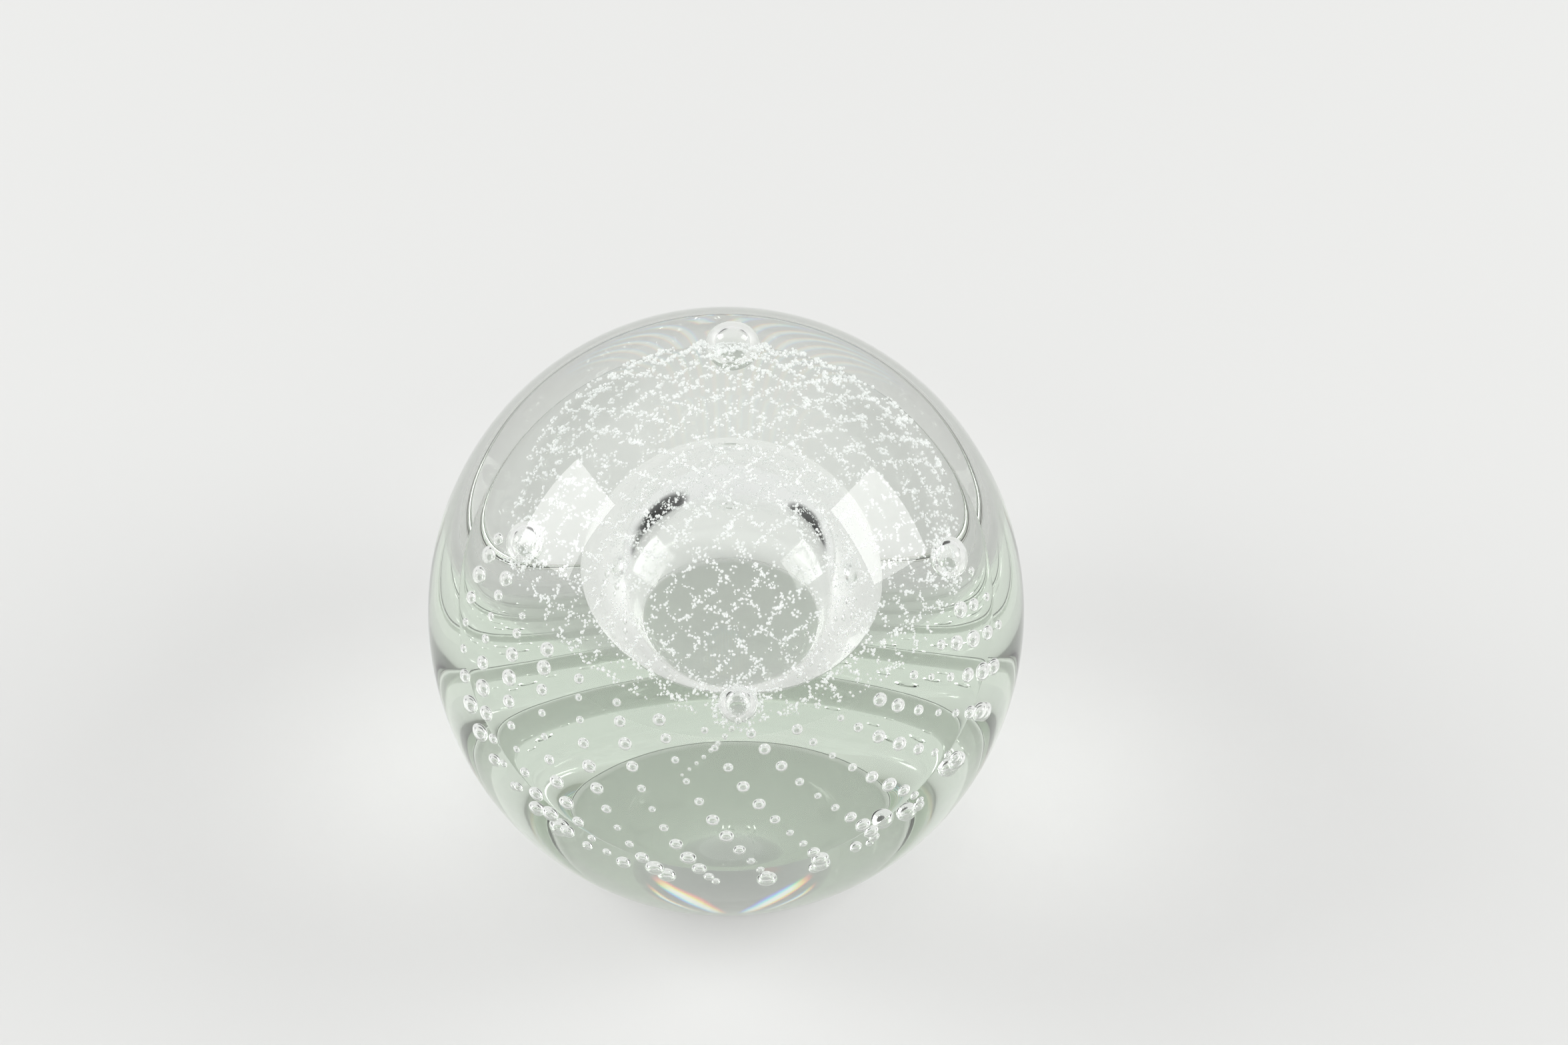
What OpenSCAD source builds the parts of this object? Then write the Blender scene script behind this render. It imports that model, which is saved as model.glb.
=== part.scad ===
// A cased glass paperweight: a clear ball gathered over a smaller ball of glass,
// with air trapped at the heart, under a fine lattice veil and in rows round the core.
// Millimetres, +Z up. The origin is the middle of the flat face it rests on.
// Azimuth 0 is the front, -Y, and turns towards +X. Latitude 90 is the top.

/* [Outer glass] */
// Diameter of the glass at its widest
glass_d = 80; // [70:1:100]
// How much taller than round the ball is drawn
glass_stretch = 1.06; // [1:0.01:1.15]
// How much is ground off the bottom of the ball to make its flat base
base_cut = 12.4; // [6:0.1:15]

/* [Core] */
// Diameter of the first gather, which the outer glass covers
core_d = 46.6; // [38:0.2:54]
// How far the core leans up at the front, in degrees
core_lean_front = 2; // [0:0.5:8]
// How far the core leans up at the left, in degrees
core_lean_left = 5.5; // [0:0.5:8]

/* [Heart bubble] */
// Width of the large bubble in the core
heart_d = 27.6; // [16:0.2:33]
// Height of its dome above its widest level
heart_dome = 12.8; // [6:0.2:15]
// Depth of its flatter underside below its widest level
heart_keel = 3.6; // [2:0.2:8]
// Height of its widest level above the middle of the core
heart_rise = 4.7; // [2:0.1:5]

/* [Lattice veil] */
// Thickness of the layer that holds the lattice of seeds
veil_t = 0.4; // [0.2:0.1:1]
// Latitude of the lower edge of the veil
veil_edge_lat = 22; // [15:1:40]

/* [Collar bubbles] */
// Diameter of each of the four bubbles at the edge of the veil
collar_bubble_d = 4.4; // [2:0.1:5.5]
// Latitude of the four bubbles
collar_lat = 26; // [20:1:40]
// How far their middles stand out from the skin of the core, which they straddle
collar_proud = 0.2; // [0:0.1:2]

/* [Bubble rows] */
// Angle from one column of bubbles to the next, where the columns start
column_pitch = 12.5; // [10:0.5:20]
// How far the rows reach round to each side from the front
rows_reach = 96; // [60:1:170]
// Latitude of the lowest row
row_last_lat = -58; // [-62:1:-40]
// Turn of the front column for each degree that it goes down
column_twist = 0.75; // [0:0.05:1.2]
// How much more the columns at the right turn, and how much less those at the left
twist_fan = 0.5; // [0:0.05:0.6]
// Diameter of the largest small bubble
row_bubble_d = 1.9; // [1:0.1:2.2]
// Diameter of the smallest one
row_bubble_min_d = 0.8; // [0.5:0.1:0.9]

/* [Seed trail] */
// Number of seeds that trail down from the front collar bubble
trail_seeds = 9; // [4:1:12]
// Diameter of the first and largest seed of the trail
trail_seed_d = 0.8; // [0.5:0.1:1]
// Diameter of the last and smallest one
trail_seed_min_d = 0.4; // [0.3:0.1:0.5]
// Slant of the trail from straight down, in degrees
trail_slant = 35; // [0:5:45]

/* [Hidden] */
// Glass left between one pocket of air and the next surface
skin = 0.2;
// Rows of bubbles, one node each
ROWS = 12;
// Smoothness of curved surfaces
$fn = 96;

core_r = core_d / 2;
collar_r = collar_bubble_d / 2;
veil_r = core_r + veil_t;

// Height of the middle of the ball above the base
middle = glass_stretch * glass_d / 2 - base_cut;
// Distance of each kind of bubble from the middle of the core
collar_reach = core_r + collar_proud;
row_reach = core_r + skin + row_bubble_d / 2;
trail_reach = row_reach + row_bubble_d / 2 + skin + trail_seed_d / 2;
// The first row hangs clear of the collar bubbles and of the veil
row_first_lat = min(
    collar_lat - deg_of(collar_r + row_bubble_d / 2 + skin, row_reach),
    veil_edge_lat - deg_of(row_bubble_d / 2 + skin, row_reach)
);
// Rows open out a little towards the bottom
row_opening = 1.15;
// Angles that scatter the sizes from one column, and from one row, to the next
column_scatter = 137;
row_scatter = 61;
// Share of the spread in sizes that the bubbles high at the front have
front_share = 0.45;
// The trail starts where it just clears the front collar bubble, and its seeds stand a skin apart
trail_first_lat = collar_lat
    - deg_between(collar_reach, trail_reach, collar_r + skin + trail_seed_d / 2);
trail_pitch = deg_of(trail_seed_d + skin, trail_reach);

function deg_of(arc, radius) = arc / radius * 180 / PI;
// Angle, seen from the core's middle, between two points at their reaches and a gap apart
function deg_between(reach_a, reach_b, gap) =
    acos(min(1, (pow(reach_a, 2) + pow(reach_b, 2) - pow(gap, 2)) / (2 * reach_a * reach_b)));
function row_lat(row) =
    row_first_lat + (row_last_lat - row_first_lat) * pow(row / (ROWS - 1), row_opening);
// Bubbles come in uneven sizes, and grow towards the bottom and round the sides
function bubble_size(row, column, azimuth) =
    let (chance = (1 + sin(column_scatter * column + row_scatter * row)) / 2)
    let (lowness = row / (ROWS - 1))
    let (share = front_share + (1 - front_share) * max(lowness, abs(sin(azimuth))))
    row_bubble_min_d + (row_bubble_d - row_bubble_min_d) * chance * share;

function columns_of(row) =
    [for (start = [-rows_reach : column_pitch : rows_reach])
        let (lean = column_twist + twist_fan * sin(start))
        if (start + lean * (row_first_lat - row_lat(row)) <= rows_reach)
            start + lean * (row_first_lat - row_lat(row))];

function row_name(row) = str("bubble_row_", row < 9 ? "0" : "", row + 1);
COLLARS = ["front", "right", "back", "left"];

// Places its children at the middle of the core, leaning as the core leans
module in_core() {
    translate([0, 0, middle])
        rotate([-core_lean_front, core_lean_left, 0])
            children();
}

// Places its children at an azimuth, a latitude and a distance from the core's middle
module at(azimuth, latitude, reach) {
    rotate([-latitude, 0, azimuth])
        translate([0, -reach, 0])
            children();
}

// The ball before it is hollowed: drawn slightly tall, with a flat face ground at z = 0
module ball() {
    intersection() {
        translate([0, 0, middle])
            scale([1, 1, glass_stretch])
                sphere(d = glass_d);
        translate([-glass_d, -glass_d, 0])
            cube([2 * glass_d, 2 * glass_d, 2 * glass_d]);
    }
}

module core_ball() {
    in_core() sphere(r = core_r);
}

// The cap-shaped layer over the top of the core
module veil_cap() {
    in_core()
        difference() {
            sphere(r = veil_r);
            sphere(r = core_r);
            translate([-glass_d, -glass_d, core_r * sin(veil_edge_lat) - 2 * glass_d])
                cube([2 * glass_d, 2 * glass_d, 2 * glass_d]);
        }
}

// Half of the heart bubble, which bulges up by its height from a flat at z = 0
module half_bubble(height) {
    intersection() {
        scale([1, 1, 2 * height / heart_d])
            sphere(d = heart_d);
        translate([-heart_d, -heart_d, 0])
            cube([2 * heart_d, 2 * heart_d, 2 * height]);
    }
}

module heart_air() {
    in_core()
        translate([0, 0, heart_rise]) {
            half_bubble(heart_dome);
            mirror([0, 0, 1]) half_bubble(heart_keel);
        }
}

module collar_air(index) {
    in_core()
        at(90 * index, collar_lat, collar_reach)
            sphere(r = collar_r);
}

module all_collar_air() {
    for (index = [0 : len(COLLARS) - 1]) collar_air(index);
}

module row_air(row) {
    azimuths = columns_of(row);
    in_core()
        for (column = [0 : len(azimuths) - 1])
            at(azimuths[column], row_lat(row), row_reach)
                sphere(d = bubble_size(row, column, azimuths[column]));
}

module trail_air() {
    in_core()
        for (seed = [0 : trail_seeds - 1]) {
            fall = seed * trail_pitch;
            shrunk = seed / (trail_seeds - 1);
            at(-fall * tan(trail_slant), trail_first_lat - fall, trail_reach)
                sphere(d = trail_seed_d - (trail_seed_d - trail_seed_min_d) * shrunk);
        }
}

module outer_glass() {
    color([0.86, 0.89, 0.86, 0.35])
        difference() {
            ball();
            core_ball();
            veil_cap();
            trail_air();
            all_collar_air();
            for (row = [0 : ROWS - 1]) row_air(row);
        }
}

module core_glass() {
    color([0.82, 0.87, 0.82, 0.35])
        difference() {
            core_ball();
            heart_air();
            all_collar_air();
        }
}

module lattice_veil() {
    color([0.96, 0.97, 0.96, 0.8])
        difference() {
            veil_cap();
            all_collar_air();
        }
}

module heart_bubble() {
    color([0.97, 0.98, 0.98, 0.3]) heart_air();
}

module seed_trail() {
    color([0.97, 0.98, 0.98, 0.6]) trail_air();
}

module collar_bubble(index) {
    color([0.97, 0.98, 0.98, 0.5]) collar_air(index);
}

module bubble_row(row) {
    color([0.97, 0.98, 0.98, 0.5]) row_air(row);
}

outer_glass();
core_glass();
lattice_veil();
heart_bubble();
seed_trail();
for (index = [0 : len(COLLARS) - 1])
    collar_bubble(index);
for (row = [0 : ROWS - 1])
    bubble_row(row);
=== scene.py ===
import math
import random

import bmesh
import bpy
from bpy.props import FloatProperty, FloatVectorProperty, IntProperty, PointerProperty
from mathutils import Matrix, Vector, noise


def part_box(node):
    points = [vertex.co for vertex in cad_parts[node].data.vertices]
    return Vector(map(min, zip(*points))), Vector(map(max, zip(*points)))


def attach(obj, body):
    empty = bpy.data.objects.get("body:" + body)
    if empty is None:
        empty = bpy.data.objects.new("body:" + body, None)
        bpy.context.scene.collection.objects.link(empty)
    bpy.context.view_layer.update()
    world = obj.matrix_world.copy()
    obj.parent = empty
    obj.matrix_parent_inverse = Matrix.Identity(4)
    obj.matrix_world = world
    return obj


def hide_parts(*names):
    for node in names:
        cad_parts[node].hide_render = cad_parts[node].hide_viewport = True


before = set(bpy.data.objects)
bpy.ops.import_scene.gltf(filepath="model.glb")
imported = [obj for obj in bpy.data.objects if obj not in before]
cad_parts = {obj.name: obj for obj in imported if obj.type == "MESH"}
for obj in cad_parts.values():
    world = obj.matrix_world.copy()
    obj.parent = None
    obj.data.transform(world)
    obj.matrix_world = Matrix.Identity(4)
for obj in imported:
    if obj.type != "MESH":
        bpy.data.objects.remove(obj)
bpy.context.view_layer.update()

bl_info = {
    "name": "Bubble Paperweight",
    "version": (1, 0, 0),
    "blender": (4, 5, 0),
    "location": "3D View > Sidebar > Paperweight",
    "description": "Models a cased glass ball with trapped air, and the table it stands on",
    "category": "Object",
}

BODY = "root"
SIDES = ("front", "right", "back", "left")
ROW_NODES = sorted(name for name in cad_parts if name.startswith("bubble_row_"))


# ------------------------------------------------------------------ the frame


def middle_of(node):
    """Middle of a node's box."""
    low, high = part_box(node)
    return (low + high) / 2


GLASS_LOW, GLASS_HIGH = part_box("outer_glass")
CORE_LOW, CORE_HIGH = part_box("core_glass")
GLASS_RADIUS = (GLASS_HIGH.x - GLASS_LOW.x) / 2
CORE_RADIUS = (CORE_HIGH.x - CORE_LOW.x) / 2
BALL_MIDDLE = Vector((0, 0, middle_of("core_glass").z))
GLASS_RISE = GLASS_HIGH.z - BALL_MIDDLE.z


def core_frame():
    """The core's own axes: +X to the right collar bubble, -Y to the front one, +Z up its lean."""
    across = (middle_of("collar_bubble_right") - middle_of("collar_bubble_left")).normalized()
    along = middle_of("collar_bubble_back") - middle_of("collar_bubble_front")
    up = across.cross(along).normalized()
    turn = Matrix((across, up.cross(across), up)).transposed()
    return Matrix.Translation(BALL_MIDDLE) @ turn.to_4x4()


CORE_FRAME = core_frame()


def points_in_core(node):
    """The points of a node's mesh, along the core's own axes."""
    to_core = CORE_FRAME.inverted()
    return [to_core @ vert.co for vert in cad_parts[node].data.vertices]


def heights_in_core(node):
    """Lowest and highest level of a node, along the core's own axis."""
    levels = [point.z for point in points_in_core(node)]
    return min(levels), max(levels)


def widest_in_core(node):
    """Level and radius of a node where it is widest round the core's own axis."""
    widest = max(points_in_core(node), key=lambda point: math.hypot(point.x, point.y))
    return widest.z, math.hypot(widest.x, widest.y)


def balls_of(node):
    """Middle and radius of each separate ball in a node, from the bottom up."""
    mesh = bmesh.new()
    mesh.from_mesh(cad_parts[node].data)
    bmesh.ops.remove_doubles(mesh, verts=mesh.verts, dist=0.5e-6)
    waiting = set(mesh.verts)
    balls = []
    while waiting:
        reached = [waiting.pop()]
        for vert in reached:
            near = {edge.other_vert(vert) for edge in vert.link_edges} & waiting
            waiting -= near
            reached.extend(near)
        low = Vector([min(vert.co[axis] for vert in reached) for axis in range(3)])
        high = Vector([max(vert.co[axis] for vert in reached) for axis in range(3)])
        balls.append(((low + high) / 2, max(high - low) / 2))
    mesh.free()
    return sorted(balls, key=lambda ball: tuple(ball[0]))


def in_core(azimuth, latitude, reach):
    """A point at an azimuth and a latitude round the core, both in radians."""
    level = math.cos(latitude) * reach
    place = Vector((math.sin(azimuth) * level, -math.cos(azimuth) * level, math.sin(latitude) * reach))
    return CORE_FRAME @ place


# ---------------------------------------------------------------- the settings


class GlassSettings(bpy.types.PropertyGroup):
    """The clear glass."""

    refraction: FloatProperty(
        name="Refraction", description="Index of refraction of the glass", default=1.5, min=1.3, max=2
    )
    depth_colour: FloatVectorProperty(
        name="Depth Colour", description="Colour that thick glass takes on",
        subtype="COLOR", default=(0.48, 0.72, 0.4), min=0, max=1,
    )
    depth: FloatProperty(
        name="Depth", description="How fast the glass takes on its colour, per metre", default=1.3, min=0
    )
    seam: FloatProperty(
        name="Seam", description="Refraction of the core beside the outer glass", default=1.004, min=1
    )
    waviness: FloatProperty(
        name="Waviness", description="Height of the uneven skin that hand work leaves",
        unit="LENGTH", default=0.00002, min=0,
    )
    mist: FloatProperty(
        name="Mist", description="Roughness of the wall of the heart bubble where it is most misted",
        subtype="FACTOR", default=0.18, min=0, max=1,
    )
    grind: FloatProperty(
        name="Grind", description="Roughness that grinding leaves on the base",
        subtype="FACTOR", default=0.012, min=0, max=1,
    )
    edge: FloatProperty(
        name="Base Edge", description="Width of the rounded edge round the ground base",
        unit="LENGTH", default=0.0007, min=0.0001,
    )


class BubbleSettings(bpy.types.PropertyGroup):
    """The trapped air."""

    flatness: FloatProperty(
        name="Flatness", description="Thickness of a small bubble towards the core, beside its width",
        subtype="FACTOR", default=0.9, min=0.5, max=1,
    )
    uneven: FloatProperty(
        name="Uneven", description="How far the wall of the heart bubble wanders",
        unit="LENGTH", default=0.0001, min=0,
    )


class VeilSettings(bpy.types.PropertyGroup):
    """The lattice of fine seeds."""

    pitch: FloatProperty(
        name="Pitch", description="Distance between strands of the lattice",
        unit="LENGTH", default=0.0034, min=0.001,
    )
    strand: FloatProperty(
        name="Strand", description="Width of a strand of seeds",
        unit="LENGTH", default=0.0008, min=0.0001,
    )
    seeds: IntProperty(name="Seeds", description="Number of seeds in the lattice", default=8600, min=100)
    smallest: FloatProperty(
        name="Smallest", description="Radius of the smallest seed", unit="LENGTH", default=0.00008, min=0
    )
    largest: FloatProperty(
        name="Largest", description="Radius of the largest seed", unit="LENGTH", default=0.00019, min=0
    )
    halo: IntProperty(name="Halo", description="Seeds round each collar bubble", default=150, min=0)
    draw: IntProperty(
        name="Draw", description="Which random draw of seeds is used", default=7, min=1
    )
    colour: FloatVectorProperty(
        name="Colour", description="Colour of the seeds", subtype="COLOR",
        default=(0.93, 0.95, 0.94), min=0, max=1,
    )
    # Painted light: emission that brightens the seeds in place of the light they scatter.
    seed_painted_glow: FloatProperty(
        name="Glow", description="How much light the seeds pass on from one to the next",
        default=0.33, min=0,
    )


class StageSettings(bpy.types.PropertyGroup):
    """The table, the lights and the camera."""

    table_colour: FloatVectorProperty(
        name="Table Colour", description="Colour of the table", subtype="COLOR",
        default=(0.62, 0.624, 0.615), min=0, max=1,
    )
    # Painted light: the table's emission stands in for light. It is brighter under the ball to lift its
    # shadow, dimmer round the ball and brighter far out.
    painted_glow_under: FloatProperty(
        name="Glow Under", description="Light that the lit table gives off under the ball",
        default=0.28, min=0,
    )
    painted_glow_round: FloatProperty(
        name="Glow Round", description="Light that it gives off round the ball", default=0.16, min=0
    )
    painted_glow_far: FloatProperty(
        name="Glow Far", description="Light that it gives off far out", default=0.34, min=0
    )
    elevation: FloatProperty(
        name="Elevation", description="How far the camera looks down", subtype="ANGLE",
        default=math.radians(52),
    )
    lens: FloatProperty(name="Lens", description="Focal length in millimetres", default=85, min=20)
    ball_share: FloatProperty(
        name="Ball Share", description="Width of the ball as a share of the picture's width",
        subtype="FACTOR", default=0.3787,
    )
    ball_left: FloatProperty(
        name="Ball Left", description="How far left of the middle the ball is, as a share of the width",
        subtype="FACTOR", default=0.0378,
    )
    ball_down: FloatProperty(
        name="Ball Down", description="How far below the middle the ball is, as a share of the width",
        subtype="FACTOR", default=0.0565,
    )
    softbox_size: FloatProperty(
        name="Softbox Size", description="Width of each softbox", unit="LENGTH", default=0.52, min=0.1
    )
    softbox_power: FloatProperty(
        name="Softbox Power", description="Power of each softbox in watts", default=4, min=0
    )
    softbox_turn: FloatProperty(
        name="Softbox Turn", description="How far each softbox is turned on its stand", subtype="ANGLE",
        default=math.radians(52),
    )
    sky_side: FloatProperty(
        name="Sky Side", description="Brightness of the room at eye level", default=0.87, min=0
    )
    sky_top: FloatProperty(name="Sky Top", description="Brightness of the ceiling", default=0.78, min=0)
    front: FloatProperty(
        name="Front", description="Share of the light that comes from the unlit front of the room",
        subtype="FACTOR", default=0.4, min=0, max=1,
    )
    window: FloatProperty(
        name="Window", description="How much brighter the small window in front is", default=3, min=1
    )
    pane: FloatProperty(
        name="Pane", description="How far apart the window's panes are, in a room a metre off",
        default=0.02, min=0.01,
    )
    pane_fringe: FloatProperty(
        name="Pane Fringe", description="How much the colours part across the panes", default=0.4, min=0
    )
    fringe: FloatProperty(
        name="Fringe", description="How many degrees the colours part", default=1.2, min=0
    )
    gap: FloatProperty(
        name="Gap", description="Share of the light left in the dark gaps beside the back screen",
        default=0.08, min=0,
    )


class PaperweightSettings(bpy.types.PropertyGroup):
    """All settings of the paperweight."""

    glass: PointerProperty(type=GlassSettings)
    bubbles: PointerProperty(type=BubbleSettings)
    veil: PointerProperty(type=VeilSettings)
    stage: PointerProperty(type=StageSettings)


# --------------------------------------------------------------- the materials


def new_group(name, inputs, outputs):
    """An empty shader node group with its sockets. inputs maps a name to its default."""
    group = bpy.data.node_groups.new(name, "ShaderNodeTree")
    for label, value in inputs.items():
        socket = group.interface.new_socket(label, in_out="INPUT", socket_type="NodeSocketFloat")
        socket.default_value = value
    for label in outputs:
        group.interface.new_socket(label, in_out="OUTPUT", socket_type="NodeSocketFloat")
    return group, group.nodes.new("NodeGroupInput"), group.nodes.new("NodeGroupOutput")


def uneven_skin():
    """A group that gives a glass skin its faint waves and its faint changes of gloss."""
    if "Uneven_skin" in bpy.data.node_groups:
        return bpy.data.node_groups["Uneven_skin"]
    inputs = {"Wave Scale": 60.0, "Gloss Low": 0.0, "Gloss High": 0.01}
    group, given, out = new_group("Uneven_skin", inputs, ("Height", "Roughness"))
    place = group.nodes.new("ShaderNodeTexCoord")
    waves = group.nodes.new("ShaderNodeTexNoise")
    waves.inputs["Detail"].default_value = 2
    group.links.new(place.outputs["Object"], waves.inputs["Vector"])
    group.links.new(given.outputs["Wave Scale"], waves.inputs["Scale"])
    group.links.new(waves.outputs["Fac"], out.inputs["Height"])
    touch = group.nodes.new("ShaderNodeTexNoise")
    touch.inputs["Scale"].default_value = 300
    touch.inputs["Detail"].default_value = 4
    group.links.new(place.outputs["Object"], touch.inputs["Vector"])
    spread = group.nodes.new("ShaderNodeMapRange")
    spread.inputs["From Min"].default_value = 0.35
    spread.inputs["From Max"].default_value = 0.75
    group.links.new(touch.outputs["Fac"], spread.inputs["Value"])
    group.links.new(given.outputs["Gloss Low"], spread.inputs["To Min"])
    group.links.new(given.outputs["Gloss High"], spread.inputs["To Max"])
    group.links.new(spread.outputs["Result"], out.inputs["Roughness"])
    return group


def new_material(name):
    """A material with its node tree and its Principled shader."""
    material = bpy.data.materials.new(name)
    material.use_nodes = True
    return material, material.node_tree, material.node_tree.nodes["Principled BSDF"]


def ranged(tree, source, from_values, to_values):
    """Maps a socket smoothly from one range of values to another."""
    node = tree.nodes.new("ShaderNodeMapRange")
    node.interpolation_type = "SMOOTHSTEP"
    node.inputs["From Min"].default_value = from_values[0]
    node.inputs["From Max"].default_value = from_values[1]
    node.inputs["To Min"].default_value = to_values[0]
    node.inputs["To Max"].default_value = to_values[1]
    tree.links.new(source, node.inputs["Value"])
    return node.outputs["Result"]


def calculated(tree, operation, *values):
    """The result of a Math node on the given sockets and numbers."""
    node = tree.nodes.new("ShaderNodeMath")
    node.operation = operation
    for socket, value in zip(node.inputs, values):
        if isinstance(value, bpy.types.NodeSocket):
            tree.links.new(value, socket)
        else:
            socket.default_value = value
    return node.outputs["Value"]


def tinted(tree, shader, first, second, scale):
    """Lets the shader's base colour drift between two colours."""
    place = tree.nodes.new("ShaderNodeTexCoord")
    drift = tree.nodes.new("ShaderNodeTexNoise")
    drift.inputs["Scale"].default_value = scale
    ramp = tree.nodes.new("ShaderNodeValToRGB")
    ramp.color_ramp.elements[0].color = (*first, 1)
    ramp.color_ramp.elements[1].color = (*second, 1)
    tree.links.new(place.outputs["Object"], drift.inputs["Vector"])
    tree.links.new(drift.outputs["Fac"], ramp.inputs["Fac"])
    tree.links.new(ramp.outputs["Color"], shader.inputs["Base Color"])


def skinned(tree, shader, wave_scale, wave_height, gloss_high):
    """Gives the shader the uneven skin, and hands back the roughness that it has."""
    skin = tree.nodes.new("ShaderNodeGroup")
    skin.node_tree = uneven_skin()
    skin.inputs["Wave Scale"].default_value = wave_scale
    skin.inputs["Gloss High"].default_value = gloss_high
    bump = tree.nodes.new("ShaderNodeBump")
    bump.inputs["Distance"].default_value = wave_height
    tree.links.new(skin.outputs["Height"], bump.inputs["Height"])
    tree.links.new(bump.outputs["Normal"], shader.inputs["Normal"])
    tree.links.new(skin.outputs["Roughness"], shader.inputs["Roughness"])
    return skin.outputs["Roughness"]


def casing_material(glass):
    """Thick clear glass, faintly green in depth, with a base that is ground and less polished."""
    material, tree, shader = new_material("Casing_glass")
    tinted(tree, shader, (0.985, 0.99, 0.985), (1, 1, 1), 40)
    polished = skinned(tree, shader, 45, glass.waviness, 0.004)
    level = tree.nodes.new("ShaderNodeSeparateXYZ")
    tree.links.new(tree.nodes.new("ShaderNodeTexCoord").outputs["Object"], level.inputs["Vector"])
    ground = ranged(tree, level.outputs["Z"], (0.00002, 0.0001), (glass.grind, 0))
    tree.links.new(calculated(tree, "ADD", polished, ground), shader.inputs["Roughness"])
    shader.inputs["IOR"].default_value = glass.refraction
    shader.inputs["Transmission Weight"].default_value = 1
    depth = tree.nodes.new("ShaderNodeVolumeAbsorption")
    depth.inputs["Color"].default_value = (*glass.depth_colour, 1)
    depth.inputs["Density"].default_value = glass.depth
    output = tree.nodes["Material Output"]
    tree.links.new(depth.outputs["Volume"], output.inputs["Volume"])
    return material


def core_material(glass):
    """The first gather: glass in glass, whose seam only just shows."""
    material, tree, shader = new_material("Core_glass")
    tinted(tree, shader, (0.975, 0.98, 0.975), (0.99, 0.995, 0.99), 60)
    skinned(tree, shader, 80, glass.waviness, 0.002)
    shader.inputs["IOR"].default_value = glass.seam
    shader.inputs["Transmission Weight"].default_value = 1
    return material


def air_material(glass):
    """The skin of a pocket of air, seen from inside the glass."""
    if "Trapped_air" in bpy.data.materials:
        return bpy.data.materials["Trapped_air"]
    material, tree, shader = new_material("Trapped_air")
    tinted(tree, shader, (0.985, 0.99, 0.985), (1, 1, 1), 200)
    skinned(tree, shader, 120, glass.waviness / 4, 0.01)
    shader.inputs["IOR"].default_value = 1 / glass.refraction
    shader.inputs["Transmission Weight"].default_value = 1
    return material


def heart_material(glass):
    """The wall of the heart bubble, which is a little misted."""
    material, tree, shader = new_material("Misted_air")
    tinted(tree, shader, (0.985, 0.99, 0.985), (1, 1, 1), 200)
    skinned(tree, shader, 90, glass.waviness, glass.mist)
    shader.inputs["IOR"].default_value = 1 / glass.refraction
    shader.inputs["Transmission Weight"].default_value = 1
    return material


def seed_material(veil):
    """Fine seeds of air, too small to see through: they read as white, helped by a painted glow of
    emission that stands in for the light they scatter.
    """
    material, tree, shader = new_material("Fine_seeds")
    shade = [channel * 0.93 for channel in veil.colour]
    tinted(tree, shader, shade, tuple(veil.colour), 900)
    shader.inputs["Roughness"].default_value = 0.35
    # Painted light: the seeds glow by emission, though they are no lamp, to brighten them against the
    # glass.
    shader.inputs["Emission Color"].default_value = (*veil.colour, 1)
    shader.inputs["Emission Strength"].default_value = veil.seed_painted_glow
    return material


# ------------------------------------------------------------------ the pieces


def finish_piece(name, mesh, material, nodes):
    """Makes a bmesh into a piece that stands for its CAD nodes."""
    data = bpy.data.meshes.new(name)
    mesh.to_mesh(data)
    mesh.free()
    data.materials.append(material)
    piece = bpy.data.objects.new(name, data)
    bpy.context.scene.collection.objects.link(piece)
    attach(piece, BODY)
    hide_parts(*nodes)
    return piece


def smooth(mesh):
    """Shades every face of a bmesh smooth."""
    for face in mesh.faces:
        face.smooth = True


def make_casing(glass):
    """The outer glass: a ball drawn slightly tall, with its ground base."""
    mesh = bmesh.new()
    bmesh.ops.create_uvsphere(mesh, u_segments=256, v_segments=128, radius=GLASS_RADIUS)
    bmesh.ops.scale(mesh, vec=(1, 1, GLASS_RISE / GLASS_RADIUS), verts=mesh.verts)
    bmesh.ops.translate(mesh, vec=BALL_MIDDLE, verts=mesh.verts)
    smooth(mesh)
    everything = mesh.verts[:] + mesh.edges[:] + mesh.faces[:]
    cut = bmesh.ops.bisect_plane(
        mesh, geom=everything, plane_co=(0, 0, 0), plane_no=(0, 0, -1), clear_outer=True
    )
    rim = [item for item in cut["geom_cut"] if isinstance(item, bmesh.types.BMEdge)]
    bmesh.ops.edgeloop_fill(mesh, edges=rim)
    bmesh.ops.bevel(
        mesh, geom=rim, offset=glass.edge, segments=4, profile=0.5, affect="EDGES", material=-1
    )
    bmesh.ops.recalc_face_normals(mesh, faces=mesh.faces)
    # Only the ground face has more corners than this, and it stays flat
    most_corners = 8
    for face in mesh.faces:
        face.smooth = len(face.verts) <= most_corners
    return finish_piece("Casing", mesh, casing_material(glass), ["outer_glass"])


def make_core(glass):
    """The first gather, fused inside the casing."""
    mesh = bmesh.new()
    bmesh.ops.create_uvsphere(
        mesh, u_segments=128, v_segments=64, radius=CORE_RADIUS, matrix=CORE_FRAME
    )
    smooth(mesh)
    return finish_piece("Gather", mesh, core_material(glass), ["core_glass"])


def make_heart(glass, bubbles):
    """The large bubble: a high dome over a flatter keel, with a wall that wanders a little."""
    bottom, top = heights_in_core("heart_bubble")
    level, radius = widest_in_core("heart_bubble")
    swells = 1.6
    mesh = bmesh.new()
    bmesh.ops.create_uvsphere(mesh, u_segments=160, v_segments=96, radius=1)
    for vert in mesh.verts:
        away = vert.co.copy()
        height = top - level if away.z > 0 else level - bottom
        vert.co = away * (radius - bubbles.uneven)
        vert.co.z = level + away.z * (height - bubbles.uneven)
        vert.co += away * noise.noise(away * swells) * bubbles.uneven
    bmesh.ops.transform(mesh, matrix=CORE_FRAME, verts=mesh.verts)
    smooth(mesh)
    return finish_piece("Heart_air", mesh, heart_material(glass), ["heart_bubble"])


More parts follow.
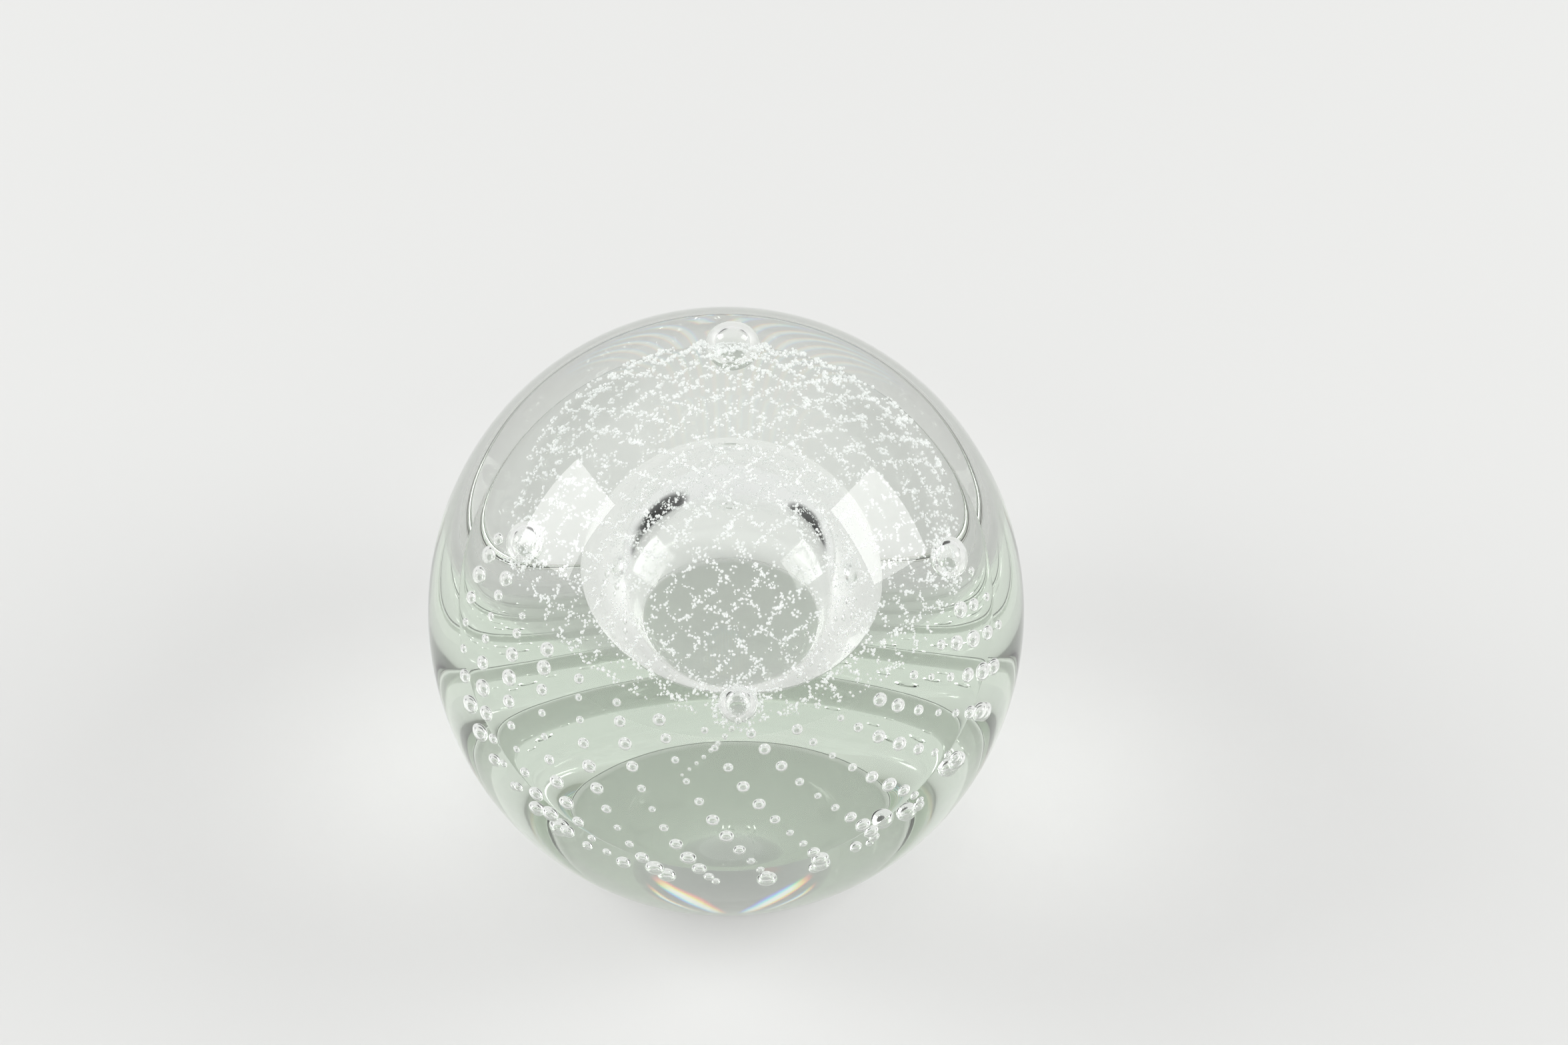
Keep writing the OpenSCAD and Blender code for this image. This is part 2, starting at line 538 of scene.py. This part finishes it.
def add_ball(mesh, middle, radius, detail, flatness=1.0):
    """Adds a ball to a bmesh, pressed flat towards the core."""
    away = (middle - BALL_MIDDLE).to_track_quat("Z", "Y").to_matrix().to_4x4()
    press = Matrix.Diagonal((radius, radius, radius * flatness, 1))
    bmesh.ops.create_icosphere(
        mesh, subdivisions=detail, radius=1, matrix=Matrix.Translation(middle) @ away @ press
    )


def make_bubbles(name, node, glass, flatness, detail):
    """Every bubble of one CAD node, as round pockets of air."""
    mesh = bmesh.new()
    for middle, radius in balls_of(node):
        add_ball(mesh, middle, radius, detail, flatness)
    smooth(mesh)
    return finish_piece(name, mesh, air_material(glass), [node])


def near_strand(across, along, veil):
    """How far a point of the spread-out dome is from the middle of the nearest strand."""
    slanted = ((across + along) / math.sqrt(2), (across - along) / math.sqrt(2))
    return min(abs((side / veil.pitch + 0.5) % 1 - 0.5) * veil.pitch for side in slanted)


def seed_places(veil):
    """Middle and radius of each seed of the lattice and of the halos."""
    draw = random.Random(veil.draw)
    # Noise vectors start from the clock unless they are seeded
    noise.seed_set(veil.draw)
    drift_scale, drift_share = 220, 0.22
    clump_scale, thinnest, clump_spread = 900, 0.75, 1.3
    stray = 0.012
    depth_share = 0.4
    bottom, top = heights_in_core("lattice_veil")
    reach = (top + CORE_RADIUS) / 2
    edge = math.asin(bottom / reach)
    seeds = []
    while len(seeds) < veil.seeds:
        latitude = math.asin(draw.uniform(math.sin(edge), 1))
        azimuth = draw.uniform(-math.pi, math.pi)
        down = (math.pi / 2 - latitude) * reach
        across, along = down * math.sin(azimuth), down * math.cos(azimuth)
        spot = Vector((across, along, 0))
        wander = noise.noise_vector(spot * drift_scale) * veil.pitch * drift_share
        gap = near_strand(across + wander.x, along + wander.y, veil)
        clump = thinnest + clump_spread * noise.noise(spot * clump_scale)
        if draw.random() > math.exp(-((gap / (veil.strand / 2)) ** 2)) * clump + stray:
            continue
        lift = draw.uniform(-1, 1) * depth_share * (top - CORE_RADIUS)
        size = veil.smallest + (veil.largest - veil.smallest) * draw.random() ** 1.5
        seeds.append((in_core(azimuth, latitude, reach + lift), size))
    return seeds


def halo_places(veil):
    """Middle and radius of the seeds that crowd round each collar bubble."""
    draw = random.Random(veil.draw + 1)
    closest, spread_out = 0.95, 0.35
    shallowest, deepest = 0.0001, 0.0004
    seeds = []
    for side in SIDES:
        (middle, radius), = balls_of("collar_bubble_" + side)
        away = (middle - BALL_MIDDLE).normalized()
        for _ in range(veil.halo):
            turn = draw.uniform(-math.pi, math.pi)
            spread = radius * (closest + abs(draw.gauss(0, spread_out)))
            out = Matrix.Rotation(turn, 3, away) @ away.orthogonal().normalized()
            spot = BALL_MIDDLE + away * (CORE_RADIUS + 2 * shallowest) + out * spread
            reach = CORE_RADIUS + draw.uniform(shallowest, deepest)
            size = draw.uniform(veil.smallest, veil.largest)
            seeds.append((BALL_MIDDLE + (spot - BALL_MIDDLE).normalized() * reach, size))
    return seeds


def make_veil(veil):
    """The lattice veil: thousands of fine seeds, made in batches to keep each bmesh small."""
    seeds = seed_places(veil) + halo_places(veil)
    whole = bmesh.new()
    batch = 100
    for start in range(0, len(seeds), batch):
        part = bmesh.new()
        for middle, radius in seeds[start : start + batch]:
            add_ball(part, middle, radius, 1)
        data = bpy.data.meshes.new("seed_batch")
        part.to_mesh(data)
        part.free()
        whole.from_mesh(data)
        bpy.data.meshes.remove(data)
    smooth(whole)
    return finish_piece("Veil_seeds", whole, seed_material(veil), ["lattice_veil"])


# ------------------------------------------------------------------- the stage


def table_material(stage):
    """A matt table top with faint marks, whose emission is painted light: a painted glow that lifts the
    shade under the ball, less of it round the ball, and more far out.
    """
    material, tree, shader = new_material("Table_top_painted_glow")
    colour = tuple(stage.table_colour)
    marked = [channel * 0.985 for channel in colour]
    tinted(tree, shader, marked, colour, 12)
    shader.inputs["Roughness"].default_value = 0.6
    # Painted light: the table is no lamp. This emission paints a glow that lifts the shade under the
    # ball, is less round the ball and is more far out.
    shader.inputs["Emission Color"].default_value = (1, 1, 0.985, 1)
    away = tree.nodes.new("ShaderNodeVectorMath")
    away.operation = "LENGTH"
    tree.links.new(tree.nodes.new("ShaderNodeTexCoord").outputs["Object"], away.inputs[0])
    near_ball = (0.6 * GLASS_RADIUS, 2 * GLASS_RADIUS)
    far_out = (8 * GLASS_RADIUS, 40 * GLASS_RADIUS)
    under = ranged(tree, away.outputs["Value"], near_ball, (stage.painted_glow_under, stage.painted_glow_round))
    beyond = ranged(tree, away.outputs["Value"], far_out, (0, stage.painted_glow_far - stage.painted_glow_round))
    tree.links.new(calculated(tree, "ADD", under, beyond), shader.inputs["Emission Strength"])
    return material


def make_table(stage):
    """The table, with a hair of air between it and the ground base."""
    air_gap = 0.0001
    table_radius = 4
    mesh = bmesh.new()
    bmesh.ops.create_circle(mesh, cap_ends=True, segments=96, radius=table_radius)
    bmesh.ops.translate(mesh, vec=(0, 0, -air_gap), verts=mesh.verts)
    data = bpy.data.meshes.new("Table")
    mesh.to_mesh(data)
    mesh.free()
    data.materials.append(table_material(stage))
    table = bpy.data.objects.new("Table", data)
    bpy.context.scene.collection.objects.link(table)


def direction(azimuth, elevation):
    """Unit vector towards an azimuth from the front and an elevation, in radians."""
    return Vector((
        math.sin(azimuth) * math.cos(elevation),
        -math.cos(azimuth) * math.cos(elevation),
        math.sin(elevation),
    ))


def make_softbox(name, azimuth, elevation, turn, stage):
    """A square softbox, a metre away, that faces the ball."""
    light = bpy.data.lights.new(name, "AREA")
    light.size = stage.softbox_size
    light.energy = stage.softbox_power
    lamp = bpy.data.objects.new(name, light)
    away = direction(math.radians(azimuth), math.radians(elevation))
    lamp.location = BALL_MIDDLE + away
    facing = (-away).to_track_quat("-Z", "Y").to_matrix() @ Matrix.Rotation(turn, 3, "Z")
    lamp.rotation_euler = facing.to_euler()
    bpy.context.scene.collection.objects.link(lamp)


def make_camera(stage):
    """The camera, with the ball a little left of and below the picture's middle."""
    camera = bpy.data.cameras.new("Camera")
    camera.lens = stage.lens
    camera.sensor_width = 36
    holder = bpy.data.objects.new("Camera", camera)
    bpy.context.scene.collection.objects.link(holder)
    towards = direction(0, stage.elevation)
    picture = 2 * GLASS_RADIUS / stage.ball_share
    right = Vector((1, 0, 0))
    up = towards.cross(right)
    aim = BALL_MIDDLE + right * stage.ball_left * picture + up * stage.ball_down * picture
    holder.location = BALL_MIDDLE + towards * picture * stage.lens / camera.sensor_width
    holder.rotation_euler = (aim - holder.location).to_track_quat("-Z", "Y").to_euler()
    bpy.context.scene.camera = holder


def facing(tree, around, place):
    """How nearly a direction faces a place in the sky, as a cosine. Angles are in degrees."""
    across = tree.nodes.new("ShaderNodeVectorMath")
    across.operation = "DOT_PRODUCT"
    across.inputs[1].default_value = direction(*map(math.radians, place))
    tree.links.new(around, across.inputs[0])
    return across.outputs["Value"]


def patch_of_light(tree, around, place, edges, levels):
    """A level that changes near a place in the sky, from outside to inside. Angles are in degrees."""
    cosines = [math.cos(math.radians(angle)) for angle in edges]
    return ranged(tree, facing(tree, around, place), cosines, levels)


def window_panes(tree, around, place, edges, extra, bars):
    """Upright panes of bright light in a round patch of the sky, on top of a level of one."""
    pitch, phase = bars
    turn = calculated(tree, "MULTIPLY_ADD", facing(tree, around, (90, 0)), math.tau / pitch, phase)
    panes = ranged(tree, calculated(tree, "COSINE", turn), (0.1, 0.7), (0, 1))
    patch = patch_of_light(tree, around, place, edges, (0, extra))
    return calculated(tree, "MULTIPLY_ADD", patch, panes, 1)


def fringed(tree, fringe, level):
    """A colour whose red, green and blue take a level a fringe apart, as thick glass spreads them."""
    colour = tree.nodes.new("ShaderNodeCombineColor")
    for channel, shift in (("Red", -fringe), ("Green", 0), ("Blue", fringe)):
        tree.links.new(level(shift), colour.inputs[channel])
    return colour.outputs["Color"]


def make_room(stage):
    """The room's light, and how far Cycles follows light through the glass."""
    scene = bpy.context.scene
    world = bpy.data.worlds.new("Room")
    world.use_nodes = True
    tree = world.node_tree
    background = tree.nodes["Background"]
    around = tree.nodes.new("ShaderNodeTexCoord").outputs["Generated"]
    level = tree.nodes.new("ShaderNodeSeparateXYZ")
    tree.links.new(around, level.inputs["Vector"])
    gap_azimuths = (-144, -132, -118, 134, 120, 107)
    gap_elevation = 20

    def front(shift):
        return patch_of_light(tree, around, (0, 5 + shift), (60, 20), (1, stage.front))

    def window(shift):
        bars = (stage.pane, math.pi + shift * stage.pane_fringe)
        return window_panes(tree, around, (-1, 31 + shift), (9, 6), stage.window - 1, bars)

    patches = [
        patch_of_light(tree, around, (azimuth, gap_elevation), (15, 8), (1, stage.gap))
        for azimuth in gap_azimuths
    ]
    patches += [fringed(tree, stage.fringe, front), fringed(tree, stage.fringe, window)]
    light = ranged(tree, level.outputs["Z"], (0, 1), (stage.sky_side, stage.sky_top))
    for patch in patches:
        changed = tree.nodes.new("ShaderNodeVectorMath")
        changed.operation = "MULTIPLY"
        tree.links.new(light, changed.inputs[0])
        tree.links.new(patch, changed.inputs[1])
        light = changed.outputs["Vector"]
    tree.links.new(light, background.inputs["Color"])
    scene.world = world
    scene.view_settings.view_transform = "Standard"
    most_bounces = 24
    scene.cycles.max_bounces = most_bounces
    scene.cycles.transmission_bounces = most_bounces
    scene.cycles.glossy_bounces = most_bounces // 2


# --------------------------------------------------------------- the operators


class PAPERWEIGHT_OT_casing(bpy.types.Operator):
    """Make the outer glass"""

    bl_idname = "paperweight.casing"
    bl_label = "Casing"

    def execute(self, context):
        make_casing(context.scene.paperweight.glass)
        return {"FINISHED"}


class PAPERWEIGHT_OT_core(bpy.types.Operator):
    """Make the first gather"""

    bl_idname = "paperweight.core"
    bl_label = "Core"

    def execute(self, context):
        make_core(context.scene.paperweight.glass)
        return {"FINISHED"}


class PAPERWEIGHT_OT_heart(bpy.types.Operator):
    """Make the large bubble in the core"""

    bl_idname = "paperweight.heart"
    bl_label = "Heart Bubble"

    def execute(self, context):
        settings = context.scene.paperweight
        make_heart(settings.glass, settings.bubbles)
        return {"FINISHED"}


class PAPERWEIGHT_OT_collar(bpy.types.Operator):
    """Make the four bubbles at the edge of the veil"""

    bl_idname = "paperweight.collar"
    bl_label = "Collar Bubbles"

    def execute(self, context):
        settings = context.scene.paperweight
        for side in SIDES:
            make_bubbles("Collar_air_" + side, "collar_bubble_" + side, settings.glass, 1.0, 4)
        return {"FINISHED"}


class PAPERWEIGHT_OT_rows(bpy.types.Operator):
    """Make the rows of small bubbles"""

    bl_idname = "paperweight.rows"
    bl_label = "Bubble Rows"

    def execute(self, context):
        settings = context.scene.paperweight
        for node in ROW_NODES:
            name = node.replace("bubble_row", "Row_air")
            make_bubbles(name, node, settings.glass, settings.bubbles.flatness, 3)
        return {"FINISHED"}


class PAPERWEIGHT_OT_trail(bpy.types.Operator):
    """Make the trail of seeds under the front collar bubble"""

    bl_idname = "paperweight.trail"
    bl_label = "Seed Trail"

    def execute(self, context):
        make_bubbles("Trail_air", "seed_trail", context.scene.paperweight.glass, 1.0, 2)
        return {"FINISHED"}


class PAPERWEIGHT_OT_veil(bpy.types.Operator):
    """Make the lattice of fine seeds"""

    bl_idname = "paperweight.veil"
    bl_label = "Lattice Veil"

    def execute(self, context):
        make_veil(context.scene.paperweight.veil)
        return {"FINISHED"}


class PAPERWEIGHT_OT_stage(bpy.types.Operator):
    """Make the table, the lights and the camera"""

    bl_idname = "paperweight.stage"
    bl_label = "Stage"

    def execute(self, context):
        stage = context.scene.paperweight.stage
        make_table(stage)
        make_room(stage)
        make_softbox("Softbox_left", -100, 30, -stage.softbox_turn, stage)
        make_softbox("Softbox_right", 94, 31, stage.softbox_turn, stage)
        make_camera(stage)
        return {"FINISHED"}


OPERATORS = (
    PAPERWEIGHT_OT_casing,
    PAPERWEIGHT_OT_core,
    PAPERWEIGHT_OT_heart,
    PAPERWEIGHT_OT_collar,
    PAPERWEIGHT_OT_rows,
    PAPERWEIGHT_OT_trail,
    PAPERWEIGHT_OT_veil,
    PAPERWEIGHT_OT_stage,
)


class PAPERWEIGHT_PT_panel(bpy.types.Panel):
    """Lists the steps that make the paperweight"""

    bl_idname = "PAPERWEIGHT_PT_panel"
    bl_label = "Paperweight"
    bl_space_type = "VIEW_3D"
    bl_region_type = "UI"
    bl_category = "Paperweight"

    def draw(self, context):
        settings = context.scene.paperweight
        for operator in OPERATORS:
            self.layout.operator(operator.bl_idname)
        for group in (settings.glass, settings.bubbles, settings.veil, settings.stage):
            box = self.layout.box()
            for name in group.__annotations__:
                box.prop(group, name)


CLASSES = (
    GlassSettings, BubbleSettings, VeilSettings, StageSettings, PaperweightSettings,
    *OPERATORS, PAPERWEIGHT_PT_panel,
)


def register():
    for item in CLASSES:
        bpy.utils.register_class(item)
    bpy.types.Scene.paperweight = PointerProperty(type=PaperweightSettings)


def unregister():
    del bpy.types.Scene.paperweight
    for item in reversed(CLASSES):
        bpy.utils.unregister_class(item)


def main():
    """Makes every piece and the stage."""
    register()
    bpy.ops.paperweight.casing()
    bpy.ops.paperweight.core()
    bpy.ops.paperweight.heart()
    bpy.ops.paperweight.collar()
    bpy.ops.paperweight.rows()
    bpy.ops.paperweight.trail()
    bpy.ops.paperweight.veil()
    bpy.ops.paperweight.stage()


if __name__ == "__main__":
    main()
